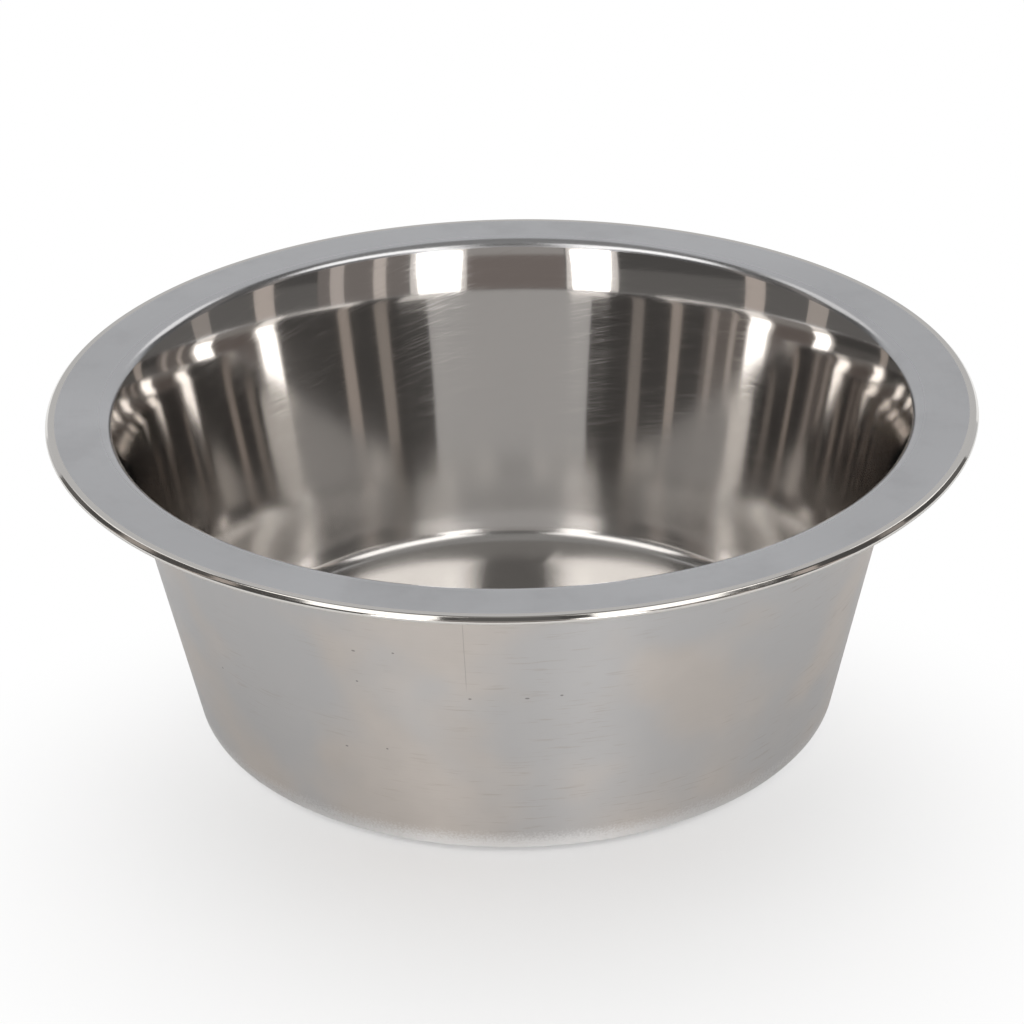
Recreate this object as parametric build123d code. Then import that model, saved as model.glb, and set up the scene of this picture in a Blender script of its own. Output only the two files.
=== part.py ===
from build123d import *
import os
from math import cos, radians, sin, tan

# A stainless steel feeding bowl: one round steel sheet, drawn deep, flanged and rolled at its edge.
# The sheet is kept as its four formed zones, which meet face to face: floor, wall, flange and rolled edge.
# The origin is the middle of the base, on the surface that the bowl stands on, with +Z up.
# Every zone is a half section in the XZ plane, where X is the radius, turned about the Z axis.

# Driving dimensions, in millimetres and degrees
RIM_DIAMETER = 280.0  # over the rolled edge
BOWL_HEIGHT = 100.7  # from the base to the flange's top skin
SHEET = 0.6  # the steel's thickness, the same all over
FLANGE_WIDTH = 15.8  # from the rim's outside to where the flange starts to bend down
BEND_RADIUS = 4.2  # top skin, where the flange bends into the wall
LIP_RADIUS = 70.0  # inner skin, where the wall flares gently below the bend
LIP_LEAN = 25.0  # the wall's angle from upright where the lip meets the bend
WALL_LEAN = 12.1  # the straight wall's angle from upright: the bowl widens upwards, so that bowls nest
CORNER_RADIUS = 6.3  # outer skin, where the wall turns into the floor
EDGE_DIAMETER = 2.4  # over the curl at the rim
EDGE_WRAP = 270.0  # how far the sheet curls round, from level
EDGE_ROOT = 0.4  # level sheet between the flange's seat and the curl

CURL_ARCS = 15  # shorter arcs that draw the curl
AXIS_UP = 90.0
AXIS_DOWN = -90.0
AXIS_IN = 180.0


def wall_normal(lean):
    """The direction out of the wall's outer skin where it leans by this angle."""
    return Vector(cos(radians(lean)), 0, -sin(radians(lean)))


# Places worked out from the dimensions, from the rim inwards and down
rim_radius = RIM_DIAMETER / 2
edge_radius = EDGE_DIAMETER / 2
edge_centre = Vector(rim_radius - edge_radius, 0, BOWL_HEIGHT - edge_radius)
seat_radius = rim_radius - EDGE_DIAMETER - EDGE_ROOT
bend_centre = Vector(rim_radius - FLANGE_WIDTH, 0, BOWL_HEIGHT - BEND_RADIUS)

# The lip leaves the bend and meets the straight wall without a crease, and so does the corner at the wall's foot.
lip_centre = bend_centre + wall_normal(LIP_LEAN) * (LIP_RADIUS - BEND_RADIUS)
wall_top = lip_centre - wall_normal(WALL_LEAN) * (LIP_RADIUS - SHEET)
wall_drop = wall_top.Z - CORNER_RADIUS * (1 - sin(radians(WALL_LEAN)))
wall_base = wall_top - Vector(wall_drop * tan(radians(WALL_LEAN)), 0, wall_drop)
corner_centre = wall_base - wall_normal(WALL_LEAN) * CORNER_RADIUS


def arc_band(centre, outer_radius, first_angle, last_angle, arcs=1):
    """A bend of the sheet, as its two skins: the outer arc, and the arc one sheet further in.

    A tight bend is drawn as several shorter arcs end to end, so that a coarse facetting still follows it.
    """
    turn = (last_angle - first_angle) / arcs
    skins = []
    for radius in (outer_radius, outer_radius - SHEET):
        starts = [first_angle + step * turn for step in range(arcs)]
        skins.append([CenterArc((centre.X, centre.Z), radius, angle, turn) for angle in starts])
    return skins


def level_band(first_radius, last_radius, top):
    """Flat sheet with its top skin at the given height, as its two skins."""
    return [[Line((first_radius, z), (last_radius, z))] for z in (top, top - SHEET)]


def leaning_band(base, top, lean):
    """Straight sheet between two points of its outer skin, as its two skins."""
    skins = []
    for depth in (0, SHEET):
        inwards = wall_normal(lean) * depth
        ends = [(point.X - inwards.X, point.Z - inwards.Z) for point in (base, top)]
        skins.append([Line(*ends)])
    return skins


def turned(*bands):
    """A ring of steel: bands that follow each other outwards along the sheet, closed at both ends."""
    edges = [edge for skins in bands for skin in skins for edge in skin]
    first, last = bands[0], bands[-1]
    edges.append(Line(first[0][0] @ 0, first[1][0] @ 0))
    edges.append(Line(last[0][-1] @ 1, last[1][-1] @ 1))
    return revolve(Plane.XZ * make_face(edges), Axis.Z, 360, clean=False)


def bowl_floor():
    """The level disc that the bowl stands on."""
    return turned(level_band(0, corner_centre.X, SHEET))


def side_wall():
    """The leaning wall, with the curve that turns it into the floor and the flared lip at its top."""
    corner = arc_band(corner_centre, CORNER_RADIUS, AXIS_DOWN, -WALL_LEAN)
    wall = leaning_band(wall_base, wall_top, WALL_LEAN)
    lip = arc_band(lip_centre, LIP_RADIUS, AXIS_IN - WALL_LEAN, AXIS_IN - LIP_LEAN)
    return turned(corner, wall, lip)


def rim_flange():
    """The wide level rim and the bend that joins it to the wall."""
    bend = arc_band(bend_centre, BEND_RADIUS, AXIS_IN - LIP_LEAN, AXIS_UP)
    return turned(bend, level_band(bend_centre.X, seat_radius, BOWL_HEIGHT))


def rolled_edge():
    """The curl that takes the sharp edge away, open underneath towards the wall."""
    curl = arc_band(edge_centre, edge_radius, AXIS_UP, AXIS_UP - EDGE_WRAP, CURL_ARCS)
    return turned(level_band(seat_radius, edge_centre.X, BOWL_HEIGHT), curl)


os.makedirs("parts", exist_ok=True)
for zone in (bowl_floor, side_wall, rim_flange, rolled_edge):
    solid = zone()
    export_step(solid, f"parts/{zone.__name__}.step")
    print(zone.__name__, "volume mm3", round(solid.volume, 1), "solids", len(solid.solids()))
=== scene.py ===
from math import cos, pi, radians, sin, tan

import bpy
import numpy as np
from bpy.props import FloatProperty, FloatVectorProperty, PointerProperty
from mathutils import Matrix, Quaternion, Vector


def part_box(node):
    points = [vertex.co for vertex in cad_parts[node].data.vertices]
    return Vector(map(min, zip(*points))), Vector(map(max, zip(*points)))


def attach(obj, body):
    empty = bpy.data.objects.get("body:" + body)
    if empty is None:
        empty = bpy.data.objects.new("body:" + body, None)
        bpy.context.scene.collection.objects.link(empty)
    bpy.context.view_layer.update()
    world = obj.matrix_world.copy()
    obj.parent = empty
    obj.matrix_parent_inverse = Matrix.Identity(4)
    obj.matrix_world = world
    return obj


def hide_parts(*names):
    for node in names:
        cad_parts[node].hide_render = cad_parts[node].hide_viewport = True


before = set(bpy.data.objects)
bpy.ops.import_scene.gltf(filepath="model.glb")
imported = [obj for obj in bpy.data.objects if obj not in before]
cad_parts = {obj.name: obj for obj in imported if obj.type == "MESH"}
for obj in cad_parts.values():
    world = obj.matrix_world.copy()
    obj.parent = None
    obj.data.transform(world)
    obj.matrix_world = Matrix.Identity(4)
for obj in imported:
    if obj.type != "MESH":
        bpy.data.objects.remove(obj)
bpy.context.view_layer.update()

bl_info = {
    "name": "Drawn Steel Feeding Bowl",
    "version": (1, 0, 0),
    "blender": (4, 5, 0),
    "location": "3D View > Sidebar > Bowl",
    "description": "Dresses a drawn steel feeding bowl with its sheet, its finishes and a plain studio",
    "category": "Object",
}

FLOOR_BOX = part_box("bowl_floor")
FLANGE_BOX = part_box("rim_flange")
EDGE_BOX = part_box("rolled_edge")

BODY = "root"
AROUND = 480  # steps round the bowl
TURN = np.linspace(0, 2 * pi, AROUND, endpoint=False)

# Waves that drawing leaves in the wall: how many go round the bowl, where they start, how they slant
# and their share of the height
WAVES = (
    (5, 0.4, 1.1, 0.90),
    (9, 2.1, -1.7, 0.60),
    (16, 4.0, 2.6, 0.35),
    (27, 1.2, -3.0, 0.16),
)


class BowlShape(bpy.types.PropertyGroup):
    """Sizes of the drawn sheet."""

    rim_radius: FloatProperty(
        name="Rim radius",
        description="From the bowl's axis to the outside of the rolled edge",
        default=EDGE_BOX[1].x,
        unit="LENGTH",
    )
    rim_height: FloatProperty(
        name="Rim height",
        description="From the base to the flange's top skin",
        default=EDGE_BOX[1].z,
        unit="LENGTH",
    )
    sheet: FloatProperty(
        name="Sheet",
        description="Thickness of the steel",
        default=FLOOR_BOX[1].z,
        unit="LENGTH",
    )
    edge_diameter: FloatProperty(
        name="Rolled edge",
        description="Diameter over the curl at the rim",
        default=EDGE_BOX[1].z - EDGE_BOX[0].z,
        unit="LENGTH",
    )
    seat_radius: FloatProperty(
        name="Seat radius",
        description="Where the flange ends and the rolled edge begins",
        default=FLANGE_BOX[1].x,
        unit="LENGTH",
    )
    flange_width: FloatProperty(
        name="Flange width",
        description="From the rim's outside to where the flange bends down",
        default=0.0158,
        unit="LENGTH",
    )
    bend_radius: FloatProperty(
        name="Bend radius",
        description="Top skin, where the flange bends into the wall",
        default=0.0042,
        unit="LENGTH",
    )
    corner_radius: FloatProperty(
        name="Corner radius",
        description="Outer skin, where the wall turns into the floor",
        default=0.0063,
        unit="LENGTH",
    )
    lip_radius: FloatProperty(
        name="Lip radius",
        description="Inner skin, where the wall flares gently below the bend",
        default=0.07,
        unit="LENGTH",
    )
    lip_lean: FloatProperty(
        name="Lip lean",
        description="The wall's angle from upright where the lip meets the bend",
        default=radians(25.0),
        subtype="ANGLE",
    )
    wall_lean: FloatProperty(
        name="Wall lean",
        description="The straight wall's angle from upright",
        default=radians(12.1),
        subtype="ANGLE",
    )
    ripple: FloatProperty(
        name="Ripple",
        description="Height of the long, shallow waves that drawing leaves in the wall",
        default=0.00003,
        unit="LENGTH",
    )
    blend: FloatProperty(
        name="Floor blend",
        description="How far the inside is filled out where the floor turns up into the corner",
        default=0.0010,
        unit="LENGTH",
    )
    dent_depth: FloatProperty(
        name="Dent depth",
        description="Depth of the small dent near the floor's far edge",
        default=0.0004,
        unit="LENGTH",
    )
    dent_place: FloatVectorProperty(
        name="Dent place",
        description="Where on the floor the dent lies",
        default=(0.0115, 0.0855),
        size=2,
        unit="LENGTH",
    )


class SteelFinish(bpy.types.PropertyGroup):
    """Colours and polish of the steel's zones."""

    inside_colour: FloatVectorProperty(
        name="Inside",
        description="Polished steel inside the bowl",
        default=(0.69, 0.672, 0.653),
        subtype="COLOR",
        min=0,
        max=1,
    )
    outside_colour: FloatVectorProperty(
        name="Outside",
        description="Half-polished steel of the outer wall",
        default=(0.64, 0.597, 0.56),
        subtype="COLOR",
        min=0,
        max=1,
    )
    flange_colour: FloatVectorProperty(
        name="Flange",
        description="Satin steel on top of the rim",
        default=(0.595, 0.60, 0.612),
        subtype="COLOR",
        min=0,
        max=1,
    )
    edge_colour: FloatVectorProperty(
        name="Rolled edge",
        description="Polished steel of the curl",
        default=(0.70, 0.68, 0.65),
        subtype="COLOR",
        min=0,
        max=1,
    )


class StudioSet(bpy.types.PropertyGroup):
    """The plain studio round the bowl."""

    floor_colour: FloatVectorProperty(
        name="Floor",
        description="Pale sweep that the bowl stands on",
        default=(0.93, 0.93, 0.93),
        subtype="COLOR",
        min=0,
        max=1,
    )
    lamp_glow: FloatProperty(
        name="Soft box glow",
        description="How bright a soft box looks beside a white background of 1",
        default=3.0,
    )
    fill: FloatProperty(
        name="Fill",
        description="Even light from all round",
        default=0.6,
    )
    camera_place: FloatVectorProperty(
        name="Camera place",
        description="Where the camera stands",
        default=(0.0, -0.946928, 0.545608),
        unit="LENGTH",
    )
    camera_aim: FloatVectorProperty(
        name="Camera aim",
        description="The point in the middle of the picture",
        default=(-0.000484, 0.0, 0.060815),
        unit="LENGTH",
    )
    camera_roll: FloatProperty(
        name="Camera roll",
        description="How far the camera leans sideways",
        default=-0.018109,
        subtype="ANGLE",
    )
    camera_lens: FloatProperty(
        name="Lens",
        description="Focal length on a 36 mm sensor",
        default=121.855,
        subtype="DISTANCE_CAMERA",
    )


# The sheet's section. A skin is rows of radius, height and the two parts of its normal, out of the steel.


def level_skin(first, last, height, up, steps):
    """Flat sheet between two radii."""
    radius = np.linspace(first, last, steps)
    flat = np.zeros(steps)
    return np.column_stack([radius, flat + height, flat, flat + up])


def arc_skin(centre, radius, first, last, out, steps):
    """A bend about a centre; out is 1 where the steel lies inside the arc and -1 where it lies outside."""
    angle = np.linspace(first, last, steps)
    way = np.column_stack([np.cos(angle), np.sin(angle)])
    return np.hstack([np.asarray(centre) + radius * way, out * way])


def straight_skin(first, last, normal, steps):
    """Straight sheet between two points of the section."""
    share = np.linspace(0, 1, steps)[:, None]
    points = (1 - share) * np.asarray(first) + share * np.asarray(last)
    return np.hstack([points, np.tile(normal, (steps, 1))])


def joined(*skins):
    """Skins end to end, with each shared row kept once."""
    return np.vstack([skins[0]] + [skin[1:] for skin in skins[1:]])


def out_of_wall(lean):
    """Normal of the outer skin where the wall leans by this angle."""
    return np.array([cos(lean), -sin(lean)])


class Section:
    """Half section of the bowl, worked out from its sizes."""

    def __init__(self, shape):
        self.sheet = shape.sheet
        self.edge = shape.edge_diameter / 2
        self.bend = shape.bend_radius
        self.lip = shape.lip_radius
        self.corner = shape.corner_radius
        self.height = shape.rim_height
        self.seat = shape.seat_radius
        self.lean = shape.wall_lean
        self.lip_lean = shape.lip_lean
        self.edge_centre = np.array([shape.rim_radius - self.edge, self.height - self.edge])
        self.bend_centre = np.array([shape.rim_radius - shape.flange_width, self.height - self.bend])
        self.lip_centre = self.bend_centre + out_of_wall(self.lip_lean) * (self.lip - self.bend)
        self.wall_top = self.lip_centre - out_of_wall(self.lean) * (self.lip - self.sheet)
        drop = self.wall_top[1] - self.corner * (1 - sin(self.lean))
        self.wall_base = self.wall_top - np.array([drop * tan(self.lean), drop])
        self.corner_centre = self.wall_base - out_of_wall(self.lean) * self.corner
        self.floor_radius = self.corner_centre[0]

    def floor(self):
        """Top and underside of the level floor, from near the axis outwards."""
        start = 0.0015  # the first ring, round the middle point
        upper = level_skin(start, self.floor_radius, self.sheet, 1, 92)
        lower = level_skin(start, self.floor_radius, 0, -1, 24)
        return upper, lower

    def side(self):
        """Inside and outside of the corner, the wall and its lip, upwards."""
        turn = -pi / 2, -self.lean
        climb = pi - self.lean, pi - self.lip_lean
        out = out_of_wall(self.lean)
        ends = np.array([self.wall_base, self.wall_top])
        upper = joined(
            arc_skin(self.corner_centre, self.corner - self.sheet, *turn, -1, 24),
            straight_skin(*(ends - out * self.sheet), -out, 44),
            arc_skin(self.lip_centre, self.lip, *climb, 1, 20),
        )
        lower = joined(
            arc_skin(self.corner_centre, self.corner, *turn, 1, 24),
            straight_skin(*ends, out, 44),
            arc_skin(self.lip_centre, self.lip - self.sheet, *climb, -1, 20),
        )
        return upper, lower

    def flange(self):
        """Top and underside of the bend and the flange, outwards."""
        turn = pi - self.lip_lean, pi / 2
        start = self.bend_centre[0]
        upper = joined(
            arc_skin(self.bend_centre, self.bend, *turn, 1, 28),
            level_skin(start, self.seat, self.height, 1, 14),
        )
        lower = joined(
            arc_skin(self.bend_centre, self.bend - self.sheet, *turn, -1, 28),
            level_skin(start, self.seat, self.height - self.sheet, -1, 14),
        )
        return upper, lower

    def curl(self):
        """Outer and inner skin of the rolled edge, out and round; its front is rolled flat."""
        flat = radians(42)  # how far the front faces up
        shoulder = foot = 0.75 * self.edge  # radius above and below the flat front
        facing = np.array([cos(flat), sin(flat)])
        bottom = self.edge_centre[1] - self.edge
        foot_centre = np.array([self.edge_centre[0] + self.edge - foot, bottom + foot])
        below = foot_centre + foot * facing
        rise = self.height - shoulder + shoulder * sin(flat) - below[1]
        above = below + np.array([-rise * tan(flat), rise])
        shoulder_centre = above - shoulder * facing
        upper = joined(
            level_skin(self.seat, shoulder_centre[0], self.height, 1, 4),
            arc_skin(shoulder_centre, shoulder, pi / 2, flat, 1, 10),
            straight_skin(above, below, facing, 4),
            arc_skin(foot_centre, foot, flat, -pi / 2, 1, 16),
            level_skin(foot_centre[0], self.edge_centre[0], bottom, -1, 3),
            arc_skin(self.edge_centre, self.edge, -pi / 2, -pi, 1, 14),
        )
        lower = joined(
            level_skin(self.seat, self.edge_centre[0], self.height - self.sheet, -1, 4),
            arc_skin(self.edge_centre, self.edge - self.sheet, pi / 2, -pi, -1, 24),
        )
        return upper, lower


def run_of(skin):
    """Distance along a skin."""
    steps = np.hypot(np.diff(skin[:, 0]), np.diff(skin[:, 1]))
    return np.concatenate([[0], np.cumsum(steps)])


def no_lift(skin):
    """A skin that stays as drawn."""
    return np.zeros((len(skin), AROUND))


def faces_down(skin):
    """Whether a skin that starts at the floor is the outer one."""
    return skin[0, 3] < 0


def ripple_lift(skin, height):
    """Shallow waves round the wall, fading out at both ends of it."""
    run = run_of(skin)
    share = (run / run[-1])[:, None]
    lift = no_lift(skin)
    for waves, phase, slant, part in WAVES:
        lift += part * np.cos(waves * TURN[None, :] + phase + slant * share)
    return height * np.sin(pi * share) ** 2 * lift


def blend_lift(skin, past_seam, height):
    """A gentle fill where the floor turns up into the corner; the outer skin stays as drawn."""
    if faces_down(skin):
        return no_lift(skin)
    middle, half_width = 0.0039, 0.0095
    gap = np.clip((past_seam - middle) / half_width, -1, 1)
    return height * np.cos(pi / 2 * gap[:, None]) ** 2 * np.ones(AROUND)


def dent_lift(skin, depth, place):
    """One small slanting dent, with a low lip beside it."""
    half_length, half_width = 0.0042, 0.0022
    lip_back, lip_aside, lip_length, lip_share = 0.0040, 0.0020, 0.0030, 0.45
    x = skin[:, :1] * np.cos(TURN)[None, :] - place[0]
    y = skin[:, :1] * np.sin(TURN)[None, :] - place[1]
    along, over = 0.5 * x + 0.87 * y, 0.87 * x - 0.5 * y
    pit = np.exp(-((along / half_length) ** 2) - (over / half_width) ** 2)
    lip = np.exp(-(((along + lip_back) / lip_length) ** 2) - ((over + lip_aside) / half_width) ** 2)
    return depth * (lip_share * lip - pit)


def floor_lift(skin, shape):
    """The floor's rise towards the corner, with one small dent in it; the underside stays flat."""
    if faces_down(skin):
        return no_lift(skin)
    run = run_of(skin)
    return blend_lift(skin, run - run[-1], shape.blend) + dent_lift(skin, shape.dent_depth, shape.dent_place)


def wall_lift(skin, shape):
    """The wall's waves, with the fill in the corner at its foot."""
    return ripple_lift(skin, shape.ripple) + blend_lift(skin, run_of(skin), shape.blend)


def rings(skin, lift, side):
    """Points and normals of a skin turned about the axis.

    The side is 1 for an upper skin and -1 for a lower one.
    """
    radius, height, across, up = (skin[:, i : i + 1] for i in range(4))
    lift = lift * side
    climb = np.gradient(lift, run_of(skin), axis=0, edge_order=2)
    swing = (np.roll(lift, -1, 1) - np.roll(lift, 1, 1)) / (2 * TURN[1]) / radius
    c, s = np.cos(TURN)[None, :], np.sin(TURN)[None, :]
    reach = radius + lift * across
    points = np.stack([reach * c, reach * s, height + lift * up + 0 * c], axis=2)
    outwards = across - side * up * climb
    normals = np.stack(
        [outwards * c + swing * s, outwards * s - swing * c, up + side * across * climb], axis=2
    )
    normals /= np.linalg.norm(normals, axis=2, keepdims=True)
    return points.reshape(-1, 3), normals.reshape(-1, 3)


def band(first, count, flip):
    """Faces between neighbouring rings, starting at a vertex number."""
    ring = np.arange(count - 1)[:, None] * AROUND + first
    here = ring + np.arange(AROUND)[None, :]
    there = ring + (np.arange(AROUND)[None, :] + 1) % AROUND
    faces = np.stack([here, here + AROUND, there + AROUND, there], axis=2).reshape(-1, 4)
    return faces[:, ::-1] if flip else faces


def cut(first, second, flip):
    """Faces across the sheet's thickness, between one ring of each skin."""
    step = np.arange(AROUND)
    after = (step + 1) % AROUND
    faces = np.stack([first + step, first + after, second + after, second + step], axis=1)
    return faces[:, ::-1] if flip else faces


def steel_piece(name, skins, lifts, materials, closed_middle=False):
    """A closed piece of the sheet from its upper and lower skin, shaded by the sheet's true normals."""
    sides = 1, -1
    points, normals, faces, slots = [], [], [], []
    start = [0, len(skins[0]) * AROUND]
    for number, (skin, lift, side) in enumerate(zip(skins, lifts, sides)):
        skin_points, skin_normals = rings(skin, lift, side)
        points.append(skin_points)
        normals.append(skin_normals)
        made = band(start[number], len(skin), side < 0)
        faces += made.tolist()
        slots += [number] * len(made)
    ends = [start[0] + (len(skins[0]) - 1) * AROUND, start[1] + (len(skins[1]) - 1) * AROUND]
    smooth = len(faces)
    faces += cut(ends[0], ends[1], True).tolist()
    if closed_middle:
        middle = sum(len(skin_points) for skin_points in points)
        for number, (skin, side) in enumerate(zip(skins, sides)):
            points.append(np.array([[0, 0, skin[0, 1]]]))
            normals.append(np.array([[0, 0, side]]))
            for step in range(AROUND):
                fan = [middle + number, start[number] + step, start[number] + (step + 1) % AROUND]
                faces.append(fan[::side])
    else:
        faces += cut(start[0], start[1], False).tolist()
    slots += [0] * (len(faces) - smooth)
    points, normals = np.vstack(points), np.vstack(normals)
    mesh = bpy.data.meshes.new(name)
    mesh.from_pydata(points.tolist(), [], faces)
    for material in materials:
        mesh.materials.append(material)
    mesh.polygons.foreach_set("material_index", slots)
    mesh.polygons.foreach_set("use_smooth", [True] * len(faces))
    corners = [normals[vertex] for face in faces[:smooth] for vertex in face]
    for face in faces[smooth:]:
        known = len(face) == 3  # the fans keep their normals, and a cut face takes its own
        corners += [normals[vertex] * known for vertex in face]
    mesh.normals_split_custom_set(np.array(corners).tolist())
    mesh.update()
    piece = bpy.data.objects.new(name, mesh)
    bpy.context.scene.collection.objects.link(piece)
    return piece


# Finishes

# Nicks in the outer wall, each painted dark as shade in it: azimuth in degrees from the camera's side,
# height, half length
PITS = (
    (-23.6, 0.0715, 0.0006),
    (-17.5, 0.0730, 0.0004),
    (-6.8, 0.0587, 0.0005),
    (-23.8, 0.0604, 0.0004),
    (-27.6, 0.0345, 0.0005),
    (-20.5, 0.0367, 0.0004),
    (-52.8, 0.0447, 0.0004),
    (1.5, 0.0590, 0.0007),
    (6.5, 0.0595, 0.0005),
    (24.0, 0.0850, 0.0005),
)


class Finish:
    """A steel material under construction, with short ways to add its nodes."""

    def __init__(self, name):
        self.material = bpy.data.materials.new(name)
        self.material.use_nodes = True
        self.tree = self.material.node_tree
        self.shader = self.tree.nodes["Principled BSDF"]
        self.shader.inputs["Metallic"].default_value = 1.0
        self.place = self.node("ShaderNodeTexCoord").outputs["Object"]
        self.x, self.y, self.z = self.node("ShaderNodeSeparateXYZ", Vector=self.place).outputs
        flat = self.vector(self.x, self.y, 0.0)
        length = self.node("ShaderNodeVectorMath", operation="LENGTH", Vector=flat)
        self.radius = length.outputs["Value"]
        self.across = self.sum(self.radius, self.z)

    def node(self, kind, **settings):
        """A new node, with its sockets and settings filled in by name."""
        made = self.tree.nodes.new(kind)
        for key, value in settings.items():
            if key in made.inputs:
                self.feed(made.inputs[key], value)
            else:
                setattr(made, key, value)
        return made

    def feed(self, socket, value):
        """Links a socket to another, or sets its value."""
        if isinstance(value, bpy.types.NodeSocket):
            self.tree.links.new(value, socket)
        else:
            socket.default_value = value

    def maths(self, operation, *values):
        """The result of one sum."""
        made = self.node("ShaderNodeMath", operation=operation)
        for socket, value in zip(made.inputs, values):
            self.feed(socket, value)
        return made.outputs[0]

    def sum(self, a, b):
        return self.maths("ADD", a, b)

    def times(self, a, b):
        return self.maths("MULTIPLY", a, b)

    def vector(self, x, y, z):
        return self.node("ShaderNodeCombineXYZ", X=x, Y=y, Z=z).outputs[0]

    def remap(self, value, low, high, to_low=0.0, to_high=1.0):
        """A value carried smoothly from one range to another."""
        made = self.node("ShaderNodeMapRange", interpolation_type="SMOOTHSTEP", Value=value)
        limits = {"From Min": low, "From Max": high, "To Min": to_low, "To Max": to_high}
        for key, limit in limits.items():
            self.feed(made.inputs[key], limit)
        return made.outputs["Result"]

    def noise(self, vector, scale, detail=2.0, roughness=0.5):
        """Soft random patches from 0 to 1."""
        made = self.node("ShaderNodeTexNoise", Vector=vector, Scale=scale, Detail=detail, Roughness=roughness)
        return made.outputs["Fac"]

    def rings(self, length, width, detail=2.0):
        """Fine lines that run round the bowl, this long and this wide."""
        lines = self.vector(
            self.times(self.x, 1 / length),
            self.times(self.y, 1 / length),
            self.times(self.across, 1 / width),
        )
        return self.noise(lines, 1.0, detail, 0.6)

    def tint(self, share, first, second):
        """A mix of two plain colours."""
        return self.blend(share, (*first, 1.0), (*second, 1.0))

    def blend(self, share, first, second):
        """A mix of two colours, each plain or worked out by nodes."""
        made = self.node("ShaderNodeMix", data_type="RGBA")
        self.feed(made.inputs["Factor"], share)
        self.feed(made.inputs["A"], first)
        self.feed(made.inputs["B"], second)
        return made.outputs["Result"]

    def brushed(self, amount):
        """Highlights drawn out across the lines that run round the bowl."""
        tangent = self.node("ShaderNodeTangent", direction_type="RADIAL", axis="Z")
        self.feed(self.shader.inputs["Tangent"], tangent.outputs[0])
        self.shader.inputs["Anisotropic"].default_value = amount
        self.shader.inputs["Anisotropic Rotation"].default_value = 0.25

    def relief(self, height, depth):
        """Fine relief in the surface, up to this depth."""
        made = self.node("ShaderNodeBump", Height=height)
        made.inputs["Strength"].default_value = 1.0
        made.inputs["Distance"].default_value = depth
        self.feed(self.shader.inputs["Normal"], made.outputs["Normal"])

    def pit(self, angle, azimuth, height, width):
        """A short level nick in the outer wall, at an azimuth in degrees and a height, as a mask for painted
        shade in it.
        """
        wall_radius, half_height = 0.108, 0.0003
        along = self.times(self.sum(angle, -radians(azimuth)), wall_radius / width)
        over = self.times(self.sum(self.z, -height), 1 / half_height)
        gap = self.sum(self.times(along, along), self.times(over, over))
        return self.remap(gap, 0.4, 1.3, 1.0, 0.0)

    def scratch(self, angle):
        """One thin upright scratch below the rim, as a mask for painted shade in it."""
        wander = self.times(self.sum(self.noise(self.place, 60.0), -0.5), 0.004)
        off = self.maths("ABSOLUTE", self.sum(self.sum(angle, wander), radians(7.2)))
        ends = self.times(self.remap(self.z, 0.060, 0.066), self.remap(self.z, 0.083, 0.088, 1.0, 0.0))
        return self.times(self.times(self.remap(off, 0.0005, 0.0012, 1.0, 0.0), ends), 0.5)

    def colour(self, value):
        """Sets the steel's colour."""
        self.feed(self.shader.inputs["Base Color"], value)

    def roughness(self, value):
        """Sets how dull the steel is."""
        self.feed(self.shader.inputs["Roughness"], value)


def shade(colour, factor):
    """A colour made lighter or darker."""
    return tuple(min(1.0, part * factor) for part in colour)


def inside_steel(finish):
    """Polished inside: a near mirror with fine lines round it, duller in the corner and on the floor."""
    f = Finish("steel_inside_polished")
    lines = f.rings(0.05, 0.0005, 3.0)
    haze = f.noise(f.place, 26.0, 3.0, 0.55)
    slant = f.vector(
        f.times(f.sum(f.times(f.x, 0.97), f.times(f.z, 0.26)), 60.0),
        f.times(f.y, 60.0),
        f.times(f.sum(f.times(f.z, 0.97), f.times(f.x, -0.26)), 5000.0),
    )
    hair = f.remap(f.noise(slant, 1.0, 1.0), 0.52, 0.70)
    hair = f.times(hair, f.remap(f.noise(f.place, 14.0, 1.0), 0.46, 0.62))
    hair = f.times(hair, f.remap(f.z, 0.018, 0.046))
    dull = f.remap(f.z, 0.004, 0.036, 1.0, 0.0)
    f.colour(f.tint(lines, shade(finish.inside_colour, 0.97), shade(finish.inside_colour, 1.03)))
    rough = f.sum(f.remap(lines, 0.3, 0.75, 0.05, 0.075), f.remap(haze, 0.35, 0.75, 0.0, 0.02))
    rough = f.sum(rough, f.times(hair, 0.065))
    f.roughness(f.sum(rough, f.times(dull, 0.12)))
    f.relief(lines, 0.0000002)
    f.brushed(0.75)
    return f.material


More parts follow.
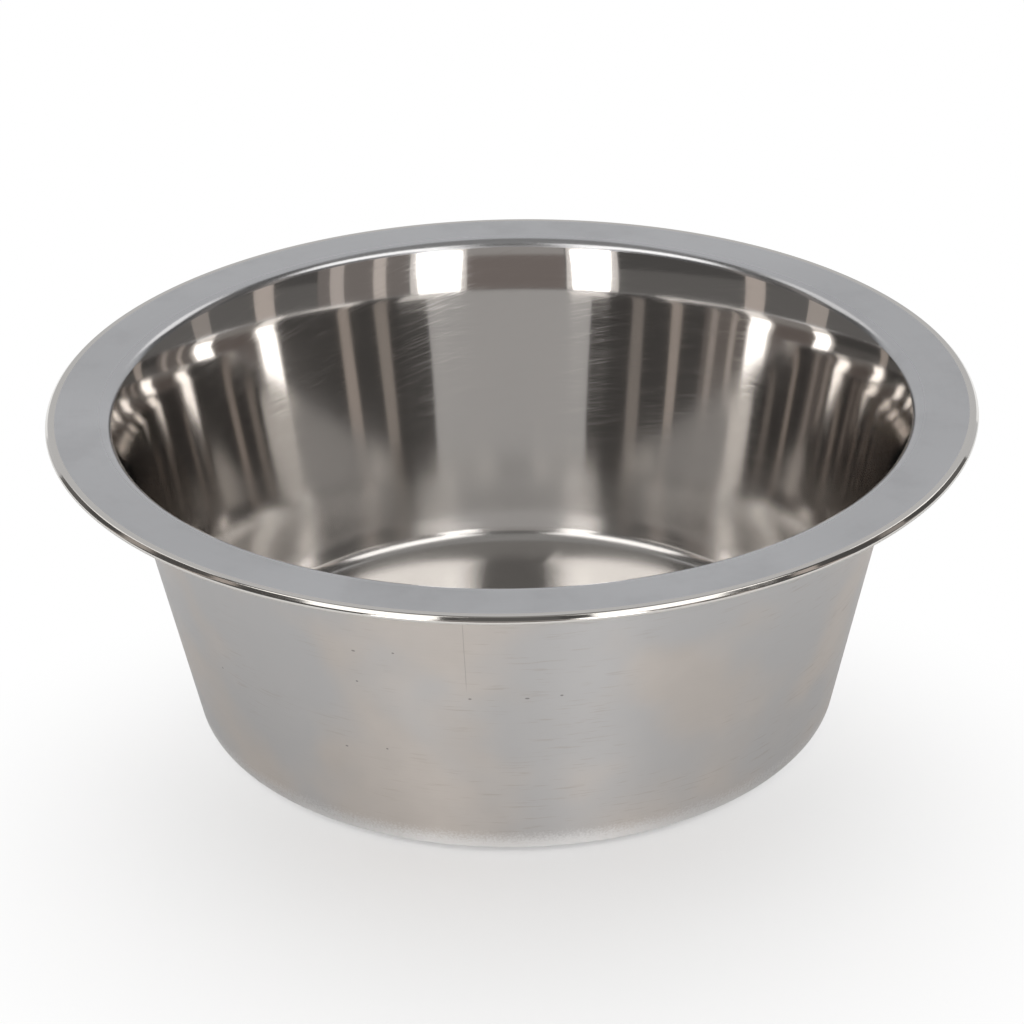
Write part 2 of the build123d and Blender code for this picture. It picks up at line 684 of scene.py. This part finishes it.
def outside_steel(finish):
    """Half-polished outside: faint lines, smears, a few nicks and one upright scratch with painted shade in
    them, and a frosted corner whose lighter colour is painted light.
    """
    f = Finish("steel_outside_brushed")
    lines = f.rings(0.06, 0.0005, 3.0)
    cloud = f.noise(f.place, 28.0, 3.0, 0.55)
    smear = f.remap(f.rings(0.011, 0.0009, 2.0), 0.57, 0.72)
    smear = f.times(smear, f.remap(f.noise(f.place, 30.0, 1.0), 0.40, 0.56))
    angle = f.maths("ARCTAN2", f.x, f.times(f.y, -1.0))
    # mask of the nicks and the scratch, where shade is painted into the colour below
    nicks_and_painted_shade = f.scratch(angle)
    for azimuth, height, width in PITS:
        nicks_and_painted_shade = f.maths("MAXIMUM", nicks_and_painted_shade, f.pit(angle, azimuth, height, width))
    # frosted foot of the wall: rougher for real, and painted lighter to offset the shadowed floor that it
    # mirrors
    frost_and_painted_light = f.sum(f.z, f.times(f.sum(f.noise(f.place, 1500.0, 2.0), -0.5), 0.006))
    frost_and_painted_light = f.remap(frost_and_painted_light, 0.0035, 0.009, 1.0, 0.0)
    streak = f.sum(f.times(lines, 0.4), f.times(f.remap(cloud, 0.32, 0.68), 0.6))
    steel = f.tint(streak, shade(finish.outside_colour, 0.92), shade(finish.outside_colour, 1.08))
    bluish = f.remap(f.noise(f.place, 22.0, 2.0), 0.40, 0.62)
    steel = f.blend(f.times(bluish, 0.60), steel, (0.535, 0.555, 0.58, 1.0))
    steel = f.blend(f.times(smear, 0.28), steel, (0.40, 0.34, 0.29, 1.0))
    # painted light: the foot's colour is lifted towards white
    steel = f.blend(f.times(frost_and_painted_light, 0.9), steel, (0.88, 0.88, 0.88, 1.0))
    # painted shade: the nicks and the scratch are coloured near black
    f.colour(f.blend(f.times(nicks_and_painted_shade, 0.6), steel, (0.10, 0.09, 0.085, 1.0)))
    rough = f.sum(f.remap(lines, 0.3, 0.75, 0.34, 0.40), f.remap(cloud, 0.3, 0.7, -0.03, 0.03))
    f.roughness(f.sum(rough, f.times(frost_and_painted_light, 0.32)))
    f.relief(f.sum(lines, f.times(nicks_and_painted_shade, -4.0)), 0.0000006)
    f.brushed(0.8)
    return f.material


def flange_steel(finish):
    """Satin flange: fine even grain with faint smudges, half-polished where it bends down."""
    f = Finish("steel_flange_satin")
    grain = f.noise(f.place, 2400.0, 2.0, 0.6)
    lines = f.rings(0.03, 0.0004, 2.0)
    wide = f.remap(f.noise(f.place, 11.0, 2.0, 0.5), 0.35, 0.65)
    smudge = f.remap(f.noise(f.place, 34.0, 4.0, 0.62), 0.46, 0.72)
    mixed = f.sum(f.times(f.sum(grain, lines), 0.22), f.times(wide, 0.56))
    steel = f.tint(mixed, shade(finish.flange_colour, 0.92), shade(finish.flange_colour, 1.08))
    f.colour(f.blend(f.times(smudge, 0.24), steel, (0.42, 0.42, 0.43, 1.0)))
    bend = f.remap(f.radius, 0.1234, 0.1248, 1.0, 0.0)
    rough = f.sum(f.remap(grain, 0.3, 0.7, 0.29, 0.36), f.times(smudge, 0.05))
    flat = f.sum(1.0, f.times(bend, -1.0))
    f.roughness(f.sum(f.times(flat, rough), f.times(bend, 0.22)))
    f.relief(grain, 0.0000015)
    f.brushed(0.2)
    return f.material


def edge_steel(finish):
    """Polished rolled edge with a few dull rubs."""
    f = Finish("steel_edge_polished")
    lines = f.rings(0.04, 0.0003, 2.0)
    rub = f.remap(f.noise(f.place, 70.0, 3.0), 0.55, 0.75)
    f.colour(f.tint(lines, shade(finish.edge_colour, 0.95), shade(finish.edge_colour, 1.03)))
    f.roughness(f.sum(f.remap(lines, 0.3, 0.75, 0.06, 0.11), f.times(rub, 0.08)))
    return f.material


def finish_of(name, make):
    """The named material, made on first use."""
    return bpy.data.materials.get(name) or make(bpy.context.scene.bowl_finish)


def inside():
    """The inside's finish."""
    return finish_of("steel_inside_polished", inside_steel)


def outside():
    """The outside's finish, which the underside shares."""
    return finish_of("steel_outside_brushed", outside_steel)


def place(piece, node, slot):
    """Hands a piece to the frame in place of its CAD node."""
    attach(piece, BODY)
    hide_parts(node)


class BOWL_OT_floor(bpy.types.Operator):
    """Make the level floor with its small dent"""

    bl_idname = "bowl.make_floor"
    bl_label = "Floor"

    def execute(self, context):
        shape = context.scene.bowl_shape
        skins = Section(shape).floor()
        lifts = [floor_lift(skin, shape) for skin in skins]
        piece = steel_piece("bowl_floor_sheet", skins, lifts, [inside(), outside()], closed_middle=True)
        place(piece, "bowl_floor", "floor_steel")
        return {"FINISHED"}


class BOWL_OT_wall(bpy.types.Operator):
    """Make the corner and the flaring wall"""

    bl_idname = "bowl.make_wall"
    bl_label = "Wall"

    def execute(self, context):
        shape = context.scene.bowl_shape
        skins = Section(shape).side()
        lifts = [wall_lift(skin, shape) for skin in skins]
        piece = steel_piece("side_wall_sheet", skins, lifts, [inside(), outside()])
        place(piece, "side_wall", "wall_steel")
        return {"FINISHED"}


class BOWL_OT_flange(bpy.types.Operator):
    """Make the wide level flange and its bend"""

    bl_idname = "bowl.make_flange"
    bl_label = "Flange"

    def execute(self, context):
        skins = Section(context.scene.bowl_shape).flange()
        lifts = [no_lift(skin) for skin in skins]
        satin = finish_of("steel_flange_satin", flange_steel)
        piece = steel_piece("rim_flange_sheet", skins, lifts, [satin, outside()])
        place(piece, "rim_flange", "flange_steel")
        return {"FINISHED"}


class BOWL_OT_edge(bpy.types.Operator):
    """Make the rolled edge"""

    bl_idname = "bowl.make_edge"
    bl_label = "Rolled edge"

    def execute(self, context):
        skins = Section(context.scene.bowl_shape).curl()
        lifts = [no_lift(skin) for skin in skins]
        polished = finish_of("steel_edge_polished", edge_steel)
        piece = steel_piece("rolled_edge_sheet", skins, lifts, [polished, outside()])
        place(piece, "rolled_edge", "edge_steel")
        return {"FINISHED"}


# The studio. Directions are in degrees: azimuth 0 is the camera's side and 90 is +X,
# and elevation is above the floor. Each row has a name, a sweep of azimuth and a climb of elevation.
# A part of the room then has its colour, and a soft box its share of the lamp glow.

ROOM = (
    ("room_near_low", (-130, 131), (-2, 18), (0.145, 0.14, 0.136)),
    ("room_near", (-130, 131), (18, 64), (0.088, 0.085, 0.083)),
    ("room_far", (131, 230), (-2, 64), (0.615, 0.615, 0.622)),
    ("room_ceiling", (-180, 180), (64, 90), (0.28, 0.275, 0.27)),
    ("room_middle", (-17, 13), (-2, 25), (0.205, 0.178, 0.167)),
    ("room_middle_band", (-17, 13), (25, 44), (0.36, 0.345, 0.335)),
    ("room_middle_high", (-17, 13), (44, 64), (0.13, 0.127, 0.124)),
    ("room_right", (31, 60), (-2, 33), (0.21, 0.19, 0.18)),
    ("strip_right_near", (38, 42), (-2, 33), (0.62, 0.56, 0.52)),
    ("strip_right_middle", (51.5, 56), (-2, 33), (0.52, 0.47, 0.44)),
    ("strip_left_front", (-82, -75), (-2, 40), (0.52, 0.46, 0.42)),
    ("strip_left_back", (-106, -98), (-2, 40), (0.42, 0.38, 0.35)),
    ("strip_right_front", (75, 82), (-2, 40), (0.54, 0.48, 0.44)),
    ("strip_right_back", (99, 106), (-2, 40), (0.34, 0.31, 0.29)),
    ("screen_left_back", (-140, -112), (28, 55), (1.1, 1.08, 1.06)),
    ("screen_right_back", (120, 143), (28, 50), (1.4, 1.37, 1.35)),
    ("head_low_left", (-32, -19), (30, 46), (1.8, 1.76, 1.72)),
    ("head_low_right", (14.5, 29), (30, 46), (1.8, 1.76, 1.72)),
    ("halo_low_left", (-33.5, -17.5), (-2, 33), (0.8, 0.76, 0.73)),
    ("halo_low_right", (13, 30.5), (-2, 33), (0.8, 0.76, 0.73)),
)
ROOM_RADIUS = 4.0
ROOM_STEP = 0.02  # each part of the room hangs this much in front of the one before
SOFT_BOXES = (
    ("soft_box_low_left", (-31.5, -19.5), (0, 30), 1.0),
    ("soft_box_low_right", (15, 28.5), (0, 30), 1.0),
    ("soft_box_high_left", (-86, -20), (46, 66), 0.57),
    ("soft_box_high_right", (20, 86), (46, 66), 0.57),
)


def towards(azimuth, elevation):
    """Unit direction from the bowl."""
    a, e = radians(azimuth), radians(elevation)
    return Vector((sin(a) * cos(e), -cos(a) * cos(e), sin(e)))


def glow(name, colour):
    """A plain surface that gives off an even light."""
    material = bpy.data.materials.new(name)
    material.use_nodes = True
    tree = material.node_tree
    tree.nodes.clear()
    light = tree.nodes.new("ShaderNodeEmission")
    light.inputs["Color"].default_value = (*colour, 1.0)
    out = tree.nodes.new("ShaderNodeOutputMaterial")
    tree.links.new(light.outputs[0], out.inputs["Surface"])
    return material


def room_panel(name, sweep, climb, colour, distance):
    """Part of the studio's walls, which only the steel's reflections show."""
    facet_width, facet_height = 3, 4  # degrees
    wide = max(2, int((sweep[1] - sweep[0]) / facet_width) + 1)
    tall = max(2, int((climb[1] - climb[0]) / facet_height) + 1)
    points = [
        towards(a, e) * distance
        for e in np.linspace(*climb, tall)
        for a in np.linspace(*sweep, wide)
    ]
    faces = [
        (j * wide + i, j * wide + i + 1, (j + 1) * wide + i + 1, (j + 1) * wide + i)
        for j in range(tall - 1)
        for i in range(wide - 1)
    ]
    mesh = bpy.data.meshes.new(name)
    mesh.from_pydata(points, [], faces)
    mesh.materials.append(glow(name, colour))
    panel = bpy.data.objects.new(name, mesh)
    panel.visible_camera = False
    panel.visible_diffuse = False
    panel.visible_transmission = False
    panel.visible_shadow = False
    bpy.context.scene.collection.objects.link(panel)


def soft_box(name, sweep, climb, brightness):
    """A rectangular lamp that fills this part of the view round the bowl."""
    distance = 1.9
    way = towards(sum(sweep) / 2, sum(climb) / 2)
    lamp = bpy.data.lights.new(name, "AREA")
    lamp.shape = "RECTANGLE"
    middle = radians(sum(climb) / 2)
    lamp.size = 2 * distance * tan(radians(sweep[1] - sweep[0]) / 2 * cos(middle))
    lamp.size_y = 2 * distance * tan(radians(climb[1] - climb[0]) / 2)
    lamp.energy = brightness * pi * lamp.size * lamp.size_y
    lamp.color = (1.0, 0.98, 0.96)
    box = bpy.data.objects.new(name, lamp)
    box.location = way * distance
    box.rotation_mode = "QUATERNION"
    box.rotation_quaternion = (-way).to_track_quat("-Z", "Y")
    bpy.context.scene.collection.objects.link(box)


def combined(tree, operation, first, second):
    """Two values combined by one sum."""
    made = tree.nodes.new("ShaderNodeMath")
    made.operation = operation
    tree.links.new(first, made.inputs[0])
    tree.links.new(second, made.inputs[1])
    return made.outputs[0]


def fade(tree, where, scale, forward, reach, least, rays):
    """How white the floor looks to some rays: least near the bowl, and all white past the reach."""
    spread = tree.nodes.new("ShaderNodeMapping")
    spread.inputs["Location"].default_value = (0.0, forward, 0.0)
    spread.inputs["Scale"].default_value = scale
    length = tree.nodes.new("ShaderNodeVectorMath")
    length.operation = "LENGTH"
    level = tree.nodes.new("ShaderNodeMapRange")
    level.interpolation_type = "SMOOTHSTEP"
    for key, value in zip(("From Min", "From Max", "To Min"), (*reach, least)):
        level.inputs[key].default_value = value
    tree.links.new(where, spread.inputs["Vector"])
    tree.links.new(spread.outputs["Vector"], length.inputs[0])
    tree.links.new(length.outputs["Value"], level.inputs["Value"])
    ray = rays[0] if len(rays) == 1 else combined(tree, "MAXIMUM", *rays)
    return combined(tree, "MULTIPLY", level.outputs["Result"], ray)


def studio_floor(colour):
    """A wide pale sweep that keeps the bowl's shadow and fades to white away from it."""
    steps, radius, below = 96, 14, 0.00005
    mesh = bpy.data.meshes.new("studio_floor")
    turn = np.linspace(0, 2 * pi, steps, endpoint=False)
    points = [(radius * cos(angle), radius * sin(angle), -below) for angle in turn]
    mesh.from_pydata(points, [], [tuple(range(steps))])
    material = bpy.data.materials.new("studio_floor")
    material.use_nodes = True
    tree = material.node_tree
    sweep = tree.nodes["Principled BSDF"]
    sweep.inputs["Base Color"].default_value = (*colour, 1.0)
    sweep.inputs["Roughness"].default_value = 0.9
    sweep.inputs["Specular IOR Level"].default_value = 0.1
    white = tree.nodes.new("ShaderNodeEmission")
    where = tree.nodes.new("ShaderNodeTexCoord").outputs["Object"]
    path = tree.nodes.new("ShaderNodeLightPath").outputs
    seen = fade(tree, where, (0.87, 1.0, 1.0), 0.095, (0.014, 0.177), 0.25, [path["Is Camera Ray"]])
    mirrored = [path["Is Glossy Ray"], path["Is Transmission Ray"]]
    shown = fade(tree, where, (1.0, 1.0, 1.0), 0.0, (0.25, 0.5), 0.0, mirrored)
    mix = tree.nodes.new("ShaderNodeMixShader")
    tree.links.new(combined(tree, "MAXIMUM", seen, shown), mix.inputs["Fac"])
    tree.links.new(sweep.outputs[0], mix.inputs[1])
    tree.links.new(white.outputs[0], mix.inputs[2])
    tree.links.new(mix.outputs[0], tree.nodes["Material Output"].inputs["Surface"])
    mesh.materials.append(material)
    floor = bpy.data.objects.new("studio_floor", mesh)
    bpy.context.scene.collection.objects.link(floor)


def seen_directly(tree):
    """1 for the camera, a reflection or a view through glass, and 0 for the light that falls on things."""
    path = tree.nodes.new("ShaderNodeLightPath").outputs
    mirrored = combined(tree, "MAXIMUM", path["Is Glossy Ray"], path["Is Transmission Ray"])
    return combined(tree, "MAXIMUM", path["Is Camera Ray"], mirrored)


def studio_world(fill):
    """Even white all round: background at 1, light at the fill level."""
    world = bpy.data.worlds.new("studio_world")
    world.use_nodes = True
    tree = world.node_tree
    background = tree.nodes["Background"]
    background.inputs["Color"].default_value = (1, 1, 1, 1)
    level = tree.nodes.new("ShaderNodeMapRange")
    level.inputs["To Min"].default_value = fill
    level.inputs["To Max"].default_value = 1.0
    tree.links.new(seen_directly(tree), level.inputs["Value"])
    tree.links.new(level.outputs["Result"], background.inputs["Strength"])
    bpy.context.scene.world = world


def studio_camera(studio):
    """The camera at the picture's viewing angle."""
    lens = bpy.data.cameras.new("camera")
    lens.lens = studio.camera_lens
    lens.sensor_width = 36.0
    lens.clip_start = 0.01
    lens.clip_end = 100.0
    camera = bpy.data.objects.new("camera", lens)
    camera.location = studio.camera_place
    camera.rotation_mode = "QUATERNION"
    look = Vector(studio.camera_aim) - Vector(studio.camera_place)
    camera.rotation_quaternion = look.to_track_quat("-Z", "Y") @ Quaternion((0, 0, 1), studio.camera_roll)
    bpy.context.scene.collection.objects.link(camera)
    bpy.context.scene.camera = camera


class BOWL_OT_stage(bpy.types.Operator):
    """Set up the floor, the studio walls, the lamps and the camera"""

    bl_idname = "bowl.make_stage"
    bl_label = "Studio"

    def execute(self, context):
        studio = context.scene.bowl_studio
        context.scene.view_settings.view_transform = "Standard"
        context.scene.cycles.glossy_bounces = 12  # light passes many times between the polished sides
        studio_camera(studio)
        studio_world(studio.fill)
        studio_floor(studio.floor_colour)
        for depth, (name, sweep, climb, colour) in enumerate(ROOM):
            room_panel(name, sweep, climb, colour, ROOM_RADIUS - ROOM_STEP * depth)
        for name, sweep, climb, share in SOFT_BOXES:
            soft_box(name, sweep, climb, studio.lamp_glow * share)
        return {"FINISHED"}


class BOWL_PT_panel(bpy.types.Panel):
    """Sizes, finishes and building steps of the bowl"""

    bl_idname = "BOWL_PT_panel"
    bl_label = "Feeding Bowl"
    bl_space_type = "VIEW_3D"
    bl_region_type = "UI"
    bl_category = "Bowl"

    def draw(self, context):
        for step in STEPS:
            self.layout.operator(step.bl_idname)
        for group in (context.scene.bowl_shape, context.scene.bowl_finish, context.scene.bowl_studio):
            column = self.layout.column()
            for name in group.__annotations__:
                column.prop(group, name)


STEPS = (BOWL_OT_floor, BOWL_OT_wall, BOWL_OT_flange, BOWL_OT_edge, BOWL_OT_stage)
CLASSES = (BowlShape, SteelFinish, StudioSet, *STEPS, BOWL_PT_panel)


def register():
    """Adds the classes and the scene's settings."""
    for each in CLASSES:
        bpy.utils.register_class(each)
    bpy.types.Scene.bowl_shape = PointerProperty(type=BowlShape)
    bpy.types.Scene.bowl_finish = PointerProperty(type=SteelFinish)
    bpy.types.Scene.bowl_studio = PointerProperty(type=StudioSet)


def unregister():
    """Takes the settings and the classes away again."""
    del bpy.types.Scene.bowl_studio
    del bpy.types.Scene.bowl_finish
    del bpy.types.Scene.bowl_shape
    for each in reversed(CLASSES):
        bpy.utils.unregister_class(each)


def main():
    """Builds the bowl and its studio."""
    register()
    bpy.ops.bowl.make_floor()
    bpy.ops.bowl.make_wall()
    bpy.ops.bowl.make_flange()
    bpy.ops.bowl.make_edge()
    bpy.ops.bowl.make_stage()


if __name__ == "__main__":
    main()
